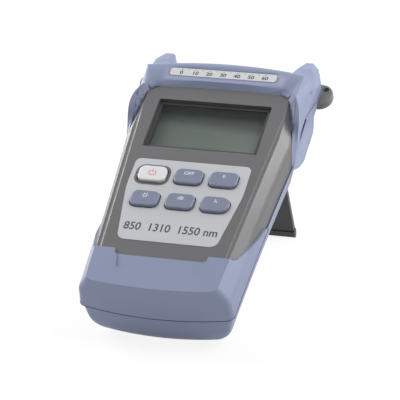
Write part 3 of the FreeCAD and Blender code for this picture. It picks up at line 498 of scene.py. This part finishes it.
# %% [markdown]
# ## Mask, ring and lugs
# A black band printed under the window hides its glue line. The power key stands in a bare grey
# ring. The strap lugs are moulded tongues with a round eye; their real outline is half an oval,
# square to the housing, with softened rims, so each solid lug gets a worked one in its place.

# %% Window mask and power ring
def loop_of(x0, x1, y0, y1, radius, steps=6):
    """A rounded rectangle as a closed path."""
    path = []
    for cx, cy, start in ((x1, y1, 0), (x0, y1, 90), (x0, y0, 180), (x1, y0, 270)):
        shift_x = -radius if cx == x1 else radius
        shift_y = -radius if cy == y1 else radius
        path += bow(cx + shift_x, cy + shift_y, radius, start, start + 90, steps)
    return path + path[:2]


pane_low, pane_high = box_of("display_window")
MASK_INSET, MASK_WIDTH, MASK_CORNER = 0.0029, 0.0024, 0.0008
mask = loop_of(pane_low.x + MASK_INSET, pane_high.x - MASK_INSET,
               pane_low.y + MASK_INSET, pane_high.y - MASK_INSET, MASK_CORNER)
ribbon("window_mask", [mask], MASK_WIDTH, pane_high.z + LIFT / 2, MAIN, bezel_finish)
key_low, key_high = box_of("key_power")
SKIRT, RING, RING_CORNER = 0.0009, 0.0013, 0.0045     # the key's flange, the ring's width and corner
ring = loop_of(key_low.x + SKIRT - RING, key_high.x - SKIRT + RING, key_low.y + SKIRT - RING,
               key_high.y - SKIRT + RING, RING_CORNER)
ring_height = box_of("keypad_overlay")[1].z + LIFT / 2
ribbon("power_ring", [ring], RING, ring_height, MAIN, shell_finish)
print("mask and ring")


# %% Helpers that carve a copy of a solid
def from_form(form, name):
    mesh = bpy.data.meshes.new(name)
    form.to_mesh(mesh)
    form.free()
    return bpy.data.objects.new(name, mesh)


def leaning_form(name):
    """A solid's mesh in leaning coordinates, with its doubled points joined."""
    form = bmesh.new()
    form.from_mesh(nodes[name].data)
    bmesh.ops.transform(form, matrix=unplace, verts=form.verts[:])
    bmesh.ops.remove_doubles(form, verts=form.verts[:], dist=1e-6)
    return form


def copy_of(name):
    return from_form(leaning_form(name), name + "_copy")


def tube_of_rings(name, rings):
    """A closed form through rings of as many points each."""
    form = bmesh.new()
    rows = [[form.verts.new(p) for p in ring] for ring in rings]
    for low, high in zip(rows, rows[1:]):
        for i in range(len(low)):
            j = (i + 1) % len(low)
            form.faces.new((low[i], low[j], high[j], high[i]))
    form.faces.new(rows[0][::-1])
    form.faces.new(rows[-1])
    bmesh.ops.recalc_face_normals(form, faces=form.faces[:])
    return from_form(form, name)


UPRIGHT = Matrix.Identity(4)        # worked pieces are already where they belong


def combine(base, steps, name, edge_angle=28.0):
    """Runs cuts and joins on a form in leaning coordinates and gives the result a smooth finish."""
    scratch = [base] + [tool for _, tool in steps]
    for item in scratch:
        bpy.context.collection.objects.link(item)
    for operation, tool in steps:
        step = base.modifiers.new(operation, "BOOLEAN")
        step.operation, step.solver, step.object = operation, "EXACT", tool
    bpy.context.view_layer.update()
    mesh = bpy.data.meshes.new_from_object(base.evaluated_get(bpy.context.evaluated_depsgraph_get()))
    for item in scratch:
        bpy.data.objects.remove(item)
    mesh.name = name
    mesh.materials.clear()
    mesh.transform(place)
    mesh.shade_smooth()
    mesh.set_sharp_from_angle(angle=math.radians(edge_angle))
    return bpy.data.objects.new(name, mesh)


print("carving helpers ready")

# %% Strap lugs
LUG_ROOT, LUG_HALF, LUG_SUNK = 0.0490, 0.0084, 0.002
LUG_RIM = ((0.0009, 0), (0.0002, 0.0005), (0, 0.0012))     # how far in, at which depth from a face
LUG_POINTS, LUG_FULLNESS, LUG_EDGE_ANGLE = 18, 0.9, 40.0
EYE_OUT, EYE_UP, EYE_RADIUS, EYE_POINTS = 0.0032, 0.0038, 0.00175, 28


def lug_piece(name, solid, side):
    low, high = box_of(solid)
    root, half = LUG_ROOT, LUG_HALF
    reach = max(abs(low.x), abs(high.x)) - root
    middle_y = (low.y + high.y) / 2
    shape = []
    for i in range(LUG_POINTS + 1):
        a = math.pi * (i / LUG_POINTS - 0.5)
        shape.append((root + reach * math.cos(a) ** LUG_FULLNESS, middle_y + half * math.sin(a)))
    shape += [(root - LUG_SUNK, middle_y + half), (root - LUG_SUNK, middle_y - half)]
    levels = [(inset, low.z + depth) for inset, depth in LUG_RIM]
    levels += [(inset, high.z - depth) for inset, depth in reversed(LUG_RIM)]
    rings = []
    for inset, z in levels:
        share = 1 - inset / reach
        rings.append([Vector((side * (root + (x - root) * share if x > root else x),
                              middle_y + (y - middle_y) * share, z)) for x, y in shape])
    eye_x, eye_y = root + EYE_OUT, middle_y + EYE_UP
    turns = [2 * math.pi * i / EYE_POINTS for i in range(EYE_POINTS)]
    eye = [[Vector((side * (eye_x + EYE_RADIUS * math.cos(t)), eye_y + EYE_RADIUS * math.sin(t), z))
            for t in turns] for z in (low.z - 0.001, high.z + 0.001)]
    piece = combine(tube_of_rings(name, rings), [("DIFFERENCE", tube_of_rings("eye", eye))], name,
                    LUG_EDGE_ANGLE)
    settle(piece, MAIN, lug_finish, UPRIGHT)
    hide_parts(solid)


lug_piece("strap_lug_right_worked", "strap_lug_right", 1)
lug_piece("strap_lug_left_worked", "strap_lug_left", -1)
print("lugs worked")

# %% [markdown]
# ## The arms of the top guard
# From each corner of the window frame an arm runs down the flank to a point at the seam. Its
# front is a hollow band that faces in and down, with a crisp ridge outside it. The solid guard has
# plain arms, so this guard starts as a copy of the solid: the old arm front is cut back along a
# side-view curve, and a new arm, ruled between two curves, is joined on. Boat-shaped finger scoops
# are then cut across the seam, in this guard and in a copy of the rear housing.

# %% Arm curves and new arms
# Inner edge of the arm on the grey flank, and its outer ridge: corner, bend, flank, tip.
ARM_INNER = [spot(39.4, 146.8, 0.2), spot(41.7, 143.4, 0.1), spot(43.0, 139.8, -1.1), spot(44.9, 131.0, -4.4),
             spot(46.1, 123.0, -8.0), spot(46.8, 117.5, -13.0), spot(47.2, 113.0, -18.2)]
ARM_RIDGE = [spot(41.2, 149.6, 3.2), spot(44.6, 145.7, 3.1), spot(47.2, 139.4, 2.4), spot(48.5, 133.2, -1.0),
             spot(48.5, 125.5, -9.4), spot(48.2, 118.8, -15.0), spot(47.9, 113.4, -18.4)]
ARM_BODY = (0.0, 5.1, -7.4)     # from an arm's front into its body, in millimetres
CUT_FOOT, CUT_DEPTH = 1.3, -1.4     # how far the cut reaches below the band, and out in front of it


def smooth_run(points, parts=5):
    """Points along a Catmull-Rom curve through the given ones."""
    run = []
    ends = [2 * points[0] - points[1]] + points + [2 * points[-1] - points[-2]]
    for a, b, c, d in zip(ends, ends[1:], ends[2:], ends[3:]):
        for i in range(parts):
            t = i / parts
            run.append(0.5 * (2 * b + (c - a) * t + (2 * a - 5 * b + 4 * c - d) * t * t
                              + (3 * b - a - 3 * c + d) * t ** 3))
    return run + [points[-1]]


def head_side(z):
    """Half width of the solid guard's side, which leans in towards the front."""
    return 0.0480 - max(0.0, z + 0.009) / 3


def arm(side):
    inner, ridge = smooth_run(ARM_INNER), smooth_run(ARM_RIDGE)
    rings = []
    for i, (a, b) in enumerate(zip(inner, ridge)):
        along = i / (len(inner) - 1)
        into = spot(*ARM_BODY) * min(1.0, 2.6 * (1 - along) + 0.02)
        hollow = a.lerp(b, 0.5) + into.normalized() * 0.0004
        back = b + into
        back.x = head_side(back.z) - 0.0002
        ring = [a, hollow, b, back, Vector((a.x, back.y, back.z))]
        rings.append([Vector((side * p.x, p.y, p.z)) for p in ring])
    return tube_of_rings("arm", rings)


def band_cut(side):
    """The space in front of an arm's band, to clear the plain arm and the frame corner from it."""
    rings = []
    for a, b in zip(smooth_run(ARM_INNER), smooth_run(ARM_RIDGE)):
        foot = a + (a - b) * CUT_FOOT
        away = spot(*ARM_BODY) * CUT_DEPTH
        rings.append([Vector((side * p.x, p.y, p.z)) for p in (foot, b, b + away, foot + away)])
    return tube_of_rings("band_cut", rings)


print("arm curves: %d points" % len(smooth_run(ARM_INNER)))

# %% Scoops and slimmer shoulders
SCOOP_ENDS = (spot(49.0, 123.0, -20.4), spot(49.6, 151.5, -17.6))
SCOOP_FRONT = spot(49.0, 136.0, -12.6)
SCOOP_REAR = spot(49.0, 141.5, -29.5)
SCOOP_FLOOR, SCOOP_SLOPE, SCOOP_STEP = 0.0457, 0.0024, 0.0022
SCOOP_RINGS = ((0.0, 0.86), (0.25, 0.94), (1.0, 1.0), (2.5, 1.02))      # steps out, share of the rim
TRIM_OUTLINE = ((0.0505, -0.0195), (0.0452, -0.0350), (0.0400, -0.0430), (0.0560, -0.0430),
                (0.0560, -0.0195))
TRIM_STAGES = ((0.145, 0.0055), (0.160, 0.0), (0.187, 0.0))             # up the side, and how far out


def lens(start, through_front, through_rear, end, steps=12):
    """Outline of a pointed oval in side view: front edge up, rear edge back."""
    def edge(through, count):
        middle_point = 2 * through - (start + end) / 2
        return [start * (1 - t) ** 2 + 2 * middle_point * t * (1 - t) + end * t * t
                for t in (i / count for i in range(count + 1))]

    front, rear = edge(through_front, steps), edge(through_rear, steps)
    return front[:-1] + rear[:0:-1]


def scoop(side):
    rim = lens(SCOOP_ENDS[0], SCOOP_FRONT, SCOOP_REAR, SCOOP_ENDS[1])
    centre = sum(rim, Vector()) / len(rim)
    rings = []
    for depth, share in SCOOP_RINGS:
        ring = []
        for p in rim:
            lift = (SCOOP_FRONT.z - p.z) / (SCOOP_FRONT.z - SCOOP_REAR.z)
            x = SCOOP_FLOOR + SCOOP_SLOPE * lift + depth * SCOOP_STEP
            y = centre.y + share * (p.y - centre.y)
            z = centre.z + share * (p.z - centre.z)
            ring.append(Vector((side * x, y, z)))
        rings.append(ring)
    return tube_of_rings("scoop", rings)


def shoulder_trim(side):
    """Slims the rear shoulder towards the back, so its far rim doesn't stand out."""
    rings = [[Vector((side * (x + out), y, z)) for x, z in TRIM_OUTLINE] for y, out in TRIM_STAGES]
    return tube_of_rings("trim", rings)


def both(operation, tool):
    """The same cut or join on the right and on the left."""
    return [(operation, tool(1)), (operation, tool(-1))]


guard = combine(copy_of("top_guard"),
                both("DIFFERENCE", band_cut) + both("UNION", arm) + both("DIFFERENCE", scoop),
                "top_guard_worked")
settle(guard, MAIN, guard_finish, UPRIGHT)
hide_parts("top_guard")
rear = combine(copy_of("rear_housing"),
               both("DIFFERENCE", shoulder_trim) + both("DIFFERENCE", scoop), "rear_housing_worked")
settle(rear, MAIN, guard_finish, UPRIGHT)
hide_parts("rear_housing")
print("guard faces %d, rear housing faces %d" % (len(guard.data.polygons), len(rear.data.polygons)))

# %% [markdown]
# ## The seam between the housings
# Where the two mouldings meet there is a fine dark line. Its path is already there: the outer
# rims of the rear housing and of both guards, which lie on the parting plane. Their edges become
# thin threads, left out inside the finger scoops, where a wider one fills the gap in the seam.
# Its extra width is painted shade of the deep scoop floor.

# %% Seam thread
PARTING = -0.0187
OFF_PLANE = 2e-5                            # an edge this near the plane lies on it
SEAM_RADIUS, SEAM_AND_SHADE_RADIUS = 0.00020, 0.00045
SEAM_SIDE, SEAM_END = 0.030, 0.02           # the seam runs outside this half width, or below this height


def rim_of(name, height):
    """Ends of the edges of a solid that lie on a plane and border an outward wall."""
    form = leaning_form(name)
    centre = Vector((0, 0.09, height))
    kept = []
    for edge in form.edges:
        if any(abs(v.co.z - height) > OFF_PLANE for v in edge.verts) or len(edge.link_faces) != 2:
            continue
        spread = (edge.verts[0].co + edge.verts[1].co) / 2 - centre
        normals = [f.normal for f in edge.link_faces]
        flat = [n for n in normals if abs(n.z) > 0.99]
        wall = [n for n in normals if abs(n.z) < 0.6]
        if flat and wall and wall[0].xy.dot(spread.xy) > 0:
            kept.append([v.co.copy() for v in edge.verts])
    form.free()
    return kept


def chains(segments):
    """Joins separate edges end to end into the longest runs they make."""
    def key(point):
        return tuple(round(c, 6) for c in point)

    open_ends = {}
    for i, pair in enumerate(segments):
        for point in pair:
            open_ends.setdefault(key(point), []).append(i)
    used, runs = set(), []
    for i, pair in enumerate(segments):
        if i in used:
            continue
        used.add(i)
        run = list(pair)
        for flip in (False, True):
            run = run[::-1] if flip else run
            more = True
            while more:
                more = [j for j in open_ends[key(run[-1])] if j not in used]
                if more:
                    used.add(more[0])
                    first, second = segments[more[0]]
                    run.append(second if key(first) == key(run[-1]) else first)
        runs.append(run)
    return runs


def thread(name, segments, radius, finish):
    curve = bpy.data.curves.new(name, "CURVE")
    curve.dimensions = "3D"
    curve.bevel_depth, curve.bevel_resolution = radius, 1
    for run in chains(segments):
        spline = curve.splines.new("POLY")
        spline.points.add(len(run) - 1)
        for slot_point, point in zip(spline.points, run):
            slot_point.co = (*point, 1)
    return settle(bpy.data.objects.new(name, curve), MAIN, finish)


outer = []
for solid in ("rear_housing", "bottom_guard", "top_guard"):
    edges = [e for e in rim_of(solid, PARTING)
             if min(abs(p.x) for p in e) > SEAM_SIDE or e[0].y < SEAM_END]
    edges = [e for e in edges if not any(SCOOP_ENDS[0].y < p.y < SCOOP_ENDS[1].y for p in e)]
    thread(solid + "_seam", edges, SEAM_RADIUS, seam_finish)
    outer += edges
# Along each scoop floor the seam is a wide dark thread: partly the real seam, partly painted shade of the
# deep hollow.
gap_x = SCOOP_FLOOR + SCOOP_SLOPE * (SCOOP_FRONT.z - PARTING) / (SCOOP_FRONT.z - SCOOP_REAR.z)
for side in (1, -1):
    gap = [Vector((side * gap_x, SCOOP_ENDS[0].y + (SCOOP_ENDS[1].y - SCOOP_ENDS[0].y) * i / 10, PARTING))
           for i in range(11)]
    name = "scoop_gap_right" if side > 0 else "scoop_gap_left"
    thread(name, list(zip(gap, gap[1:])), SEAM_AND_SHADE_RADIUS, seam_finish)
print("seam edges:", len(outer))

# %% [markdown]
# ## Threads on the fibre ports
# Connectors screw onto the ports. A helix with a small triangular section gives a thread that
# catches light as a real one does; a bump map would lose its outline.

# %% Port threads
def port_thread(name, port, pitch=0.00075, crest=0.0003, around=28):
    low, high = box_of(port)
    x, z = (low.x + high.x) / 2, (low.z + high.z) / 2
    core = 0.0040
    start, end = high.y - 0.0072, high.y - 0.0008
    turns = (end - start - pitch) / pitch
    form = bmesh.new()
    rings = []
    for i in range(int(turns * around) + 1):
        angle = 2 * math.pi * i / around
        y = start + pitch * i / around
        fade = min(1.0, i / around, (turns * around - i) / around)
        ring = []
        for r, dy in ((core - 0.0001, 0), (core + crest * fade, pitch * 0.35), (core - 0.0001, pitch * 0.7)):
            ring.append(form.verts.new((x + r * math.cos(angle), y + dy, z + r * math.sin(angle))))
        rings.append(ring)
    for a, b in zip(rings, rings[1:]):
        for i in range(2):
            form.faces.new((a[i], a[i + 1], b[i + 1], b[i]))
    bmesh.ops.recalc_face_normals(form, faces=form.faces[:])
    mesh = bpy.data.meshes.new(name)
    form.to_mesh(mesh)
    form.free()
    return settle(bpy.data.objects.new(name, mesh), MAIN, nickel_finish)


for port in ("detector_port", "source_port"):
    port_thread(port + "_thread", port)
print("threads on both ports")

# %% [markdown]
# ## Room, light and camera
# A plain white room: a pale floor that keeps the object's soft shadow, and a white surround that
# mirrors and glass also see. Two soft boxes stand high at the sides and two small ones low behind
# the edges, so the flanks are brighter than the face. A weaker one hangs above.

# %% Floor and surround
def white_where_seen(tree, plain, seen, share):
    """Mixes a shader towards white for camera, glossy and transmitted rays."""
    path = tree.nodes.new("ShaderNodeLightPath")
    either = None
    for label in ("Is Camera Ray", "Is Glossy Ray", "Is Transmission Ray"):
        if either is None:
            either = path.outputs[label]
            continue
        both = tree.nodes.new("ShaderNodeMath")
        both.operation = "MAXIMUM"
        tree.links.new(either, both.inputs[0])
        tree.links.new(path.outputs[label], both.inputs[1])
        either = both.outputs[0]
    scaled = tree.nodes.new("ShaderNodeMath")
    scaled.operation = "MULTIPLY"
    scaled.inputs[1].default_value = share
    tree.links.new(either, scaled.inputs[0])
    mix = tree.nodes.new("ShaderNodeMixShader")
    tree.links.new(scaled.outputs[0], mix.inputs[0])
    tree.links.new(plain, mix.inputs[1])
    tree.links.new(seen, mix.inputs[2])
    return mix.outputs[0]


floor_mesh = bpy.data.meshes.new("floor")
floor_mesh.from_pydata([(-8, -8, 0), (8, -8, 0), (8, 8, 0), (-8, 8, 0)], [], [(0, 1, 2, 3)])
floor = bpy.data.objects.new("floor", floor_mesh)
bpy.context.collection.objects.link(floor)
floor_paint = bpy.data.materials.new("floor_white")
floor_paint.use_nodes = True
tree = floor_paint.node_tree
matt = tree.nodes["Principled BSDF"]
matt.inputs["Base Color"].default_value = (0.90, 0.90, 0.90, 1)
matt.inputs["Roughness"].default_value = 0.9
glow = tree.nodes.new("ShaderNodeEmission")
FLOOR_WHITE = 0.88      # how far the floor turns white; the rest keeps the shadow
seen_floor = white_where_seen(tree, matt.outputs[0], glow.outputs[0], FLOOR_WHITE)
tree.links.new(seen_floor, tree.nodes["Material Output"].inputs[0])
floor_mesh.materials.append(floor_paint)

world = bpy.data.worlds.new("white_room")
bpy.context.scene.world = world
world.use_nodes = True
tree = world.node_tree
fill = tree.nodes["Background"]
fill.inputs["Color"].default_value = (1, 1, 1, 1)
fill.inputs["Strength"].default_value = 0.24
white = tree.nodes.new("ShaderNodeBackground")
white.inputs["Strength"].default_value = 1.0
white.inputs["Color"].default_value = (1, 1, 1, 1)
seen_world = white_where_seen(tree, fill.outputs[0], white.outputs[0], 1.0)
tree.links.new(seen_world, tree.nodes["World Output"].inputs[0])
print("white room ready")

# %% Lights
middle = (solid_low + solid_high) / 2


def softbox(name, spot_at, size, watts):
    lamp = bpy.data.lights.new(name, "AREA")
    lamp.size, lamp.energy = size, watts
    holder = bpy.data.objects.new(name, lamp)
    bpy.context.collection.objects.link(holder)
    holder.location = spot_at
    holder.rotation_euler = (middle - holder.location).to_track_quat("-Z", "Y").to_euler()


softbox("right_box", Vector((0.70, -0.10, 0.95)), 0.6, 7.5)
softbox("left_box", Vector((-0.90, 0.05, 0.80)), 0.6, 8.5)
softbox("right_edge_box", Vector((0.61, 0.41, 0.36)), 0.35, 3.2)
softbox("left_edge_box", Vector((-0.62, 0.42, 0.26)), 0.35, 4.4)
softbox("top_box", Vector((0.10, 0.70, 1.05)), 0.8, 2.2)
print("5 lights")

# %% Camera
BACK_OFF = 1.065
AZIMUTH, ELEVATION = 16.38, 18.24
LOOK_AT = Vector((0.00524, -0.02391, 0.05893))
camera_data = bpy.data.cameras.new("camera")
camera_data.lens, camera_data.sensor_width = 180.0, 36.0
camera = bpy.data.objects.new("camera", camera_data)
bpy.context.collection.objects.link(camera)
a, e = math.radians(AZIMUTH), math.radians(ELEVATION)
back = Vector((math.sin(a) * math.cos(e), -math.cos(a) * math.cos(e), math.sin(e)))
camera.location = LOOK_AT + back * BACK_OFF
camera.rotation_euler = back.to_track_quat("Z", "Y").to_euler()
bpy.context.scene.camera = camera
bpy.context.scene.view_settings.view_transform = "Standard"
print("camera at", [round(v, 3) for v in camera.location])

# %% Finish
bpy.context.view_layer.update()
